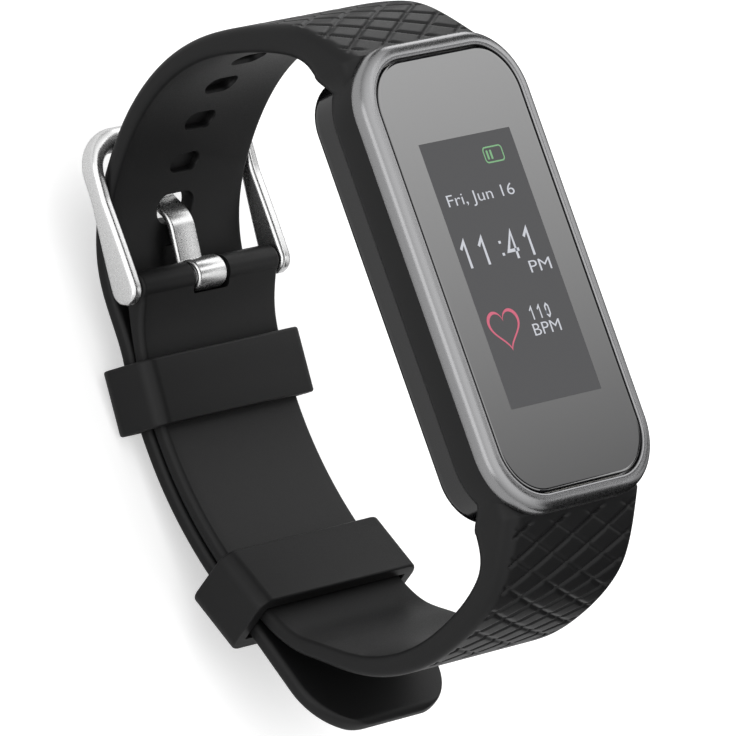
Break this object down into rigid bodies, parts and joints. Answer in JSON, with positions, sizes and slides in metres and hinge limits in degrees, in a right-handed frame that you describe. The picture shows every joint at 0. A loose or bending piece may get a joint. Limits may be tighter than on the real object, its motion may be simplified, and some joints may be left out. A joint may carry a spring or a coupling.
{
  "type": "fitness tracker band",
  "caption": "Slim wrist-worn fitness tracker: rounded display capsule in a one-piece silicone strap, closed by a pin buckle with two sliding keepers.",
  "frame": {"origin": "centre of the overall box's underside, where the closed band stands on its two keepers", "axes": "+X across the band, +Y along the display towards its top edge, +Z out of the display"},
  "size_m": [0.0196, 0.0548, 0.0371],
  "materials": {
    "silicone_black": "soft matte",
    "bezel_metal": "fine satin gunmetal",
    "display_glass": "clear over a dim grey picture",
    "cover_gloss": "glossy black",
    "buckle_steel": "bright satin",
    "frame_plastic": "moulded matte",
    "board_green": "solder mask",
    "chip_black": "moulded epoxy",
    "flex_amber": "polyimide film",
    "panel_grey": "polished",
    "film_white": "diffuse",
    "cell_foil": "dull foil",
    "tape_white": "adhesive foam",
    "screw_steel": "machined",
    "contact_gold": "plated",
    "rotor_weight": "sintered",
    "seal_rubber": "soft",
    "window_dark": "tinted, polished",
    "led_clear": "clear resin"
  },
  "bodies": {
    "root": {"back_cover": "cover_gloss", "back_seal": "seal_rubber", "backlight": "film_white", "band": "silicone_black", "bar_spring": "screw_steel", "bar_tube": "buckle_steel", "battery": "cell_foil", "battery_tape": "tape_white", "bezel_frame": "bezel_metal", "board_chips": "chip_black", "charging_contacts": "contact_gold", "cover_glass": "display_glass", "cover_screws": "screw_steel", "display_flex": "flex_amber", "glass_gasket": "tape_white", "lcd_panel": "panel_grey", "light_sensor": "chip_black", "main_board": "board_green", "mid_frame": "frame_plastic", "motor_can": "screw_steel", "pulse_leds": "led_clear", "sensor_board": "board_green", "sensor_window": "window_dark", "touch_pad": "flex_amber"},
    "buckle": {"buckle_frame": "buckle_steel"},
    "tongue": {"buckle_tongue": "buckle_steel"},
    "keeper_upper_loop": {"keeper_upper": "silicone_black"},
    "keeper_lower_loop": {"keeper_lower": "silicone_black"},
    "bar_tip_left_pin": {"bar_tip_left": "screw_steel"},
    "bar_tip_right_pin": {"bar_tip_right": "screw_steel"},
    "rotor": {"motor_rotor": "rotor_weight"}
  },
  "joints": [
    {"name": "buckle_swing", "type": "hinge", "parent": "root", "child": "buckle", "pos_m": [0, 0.01169, 0.00614], "axis": [-1, 0, 0], "range_deg": [-1.2, 1.2]},
    {"name": "tongue_lift", "type": "hinge", "parent": "buckle", "child": "tongue", "pos_m": [0, 0.01169, 0.00614], "axis": [-1, 0, 0], "range_deg": [0, 1]},
    {"name": "keeper_upper_slide", "type": "hinge", "parent": "root", "child": "keeper_upper_loop", "pos_m": [0, -0.0002, 0.03664], "axis": [1, 0, 0], "range_deg": [-9, 2.5]},
    {"name": "keeper_lower_slide", "type": "hinge", "parent": "root", "child": "keeper_lower_loop", "pos_m": [0, -0.0002, 0.03664], "axis": [1, 0, 0], "range_deg": [-1.2, 9]},
    {"name": "bar_tip_left_press", "type": "slide", "parent": "root", "child": "bar_tip_left_pin", "axis": [1, 0, 0], "range_m": [0, 0.001], "stiffness_N_per_m": 400, "springref_m": -0.0005, "deforming": ["bar_spring"]},
    {"name": "bar_tip_right_press", "type": "slide", "parent": "root", "child": "bar_tip_right_pin", "axis": [-1, 0, 0], "range_m": [0, 0.001], "stiffness_N_per_m": 400, "springref_m": -0.0005, "deforming": ["bar_spring"]},
    {"name": "motor_spin", "type": "hinge", "parent": "root", "child": "rotor", "pos_m": [0.0039, 0.01295, 0.0325], "axis": [0, 0, 1], "continuous": true}
  ]
}
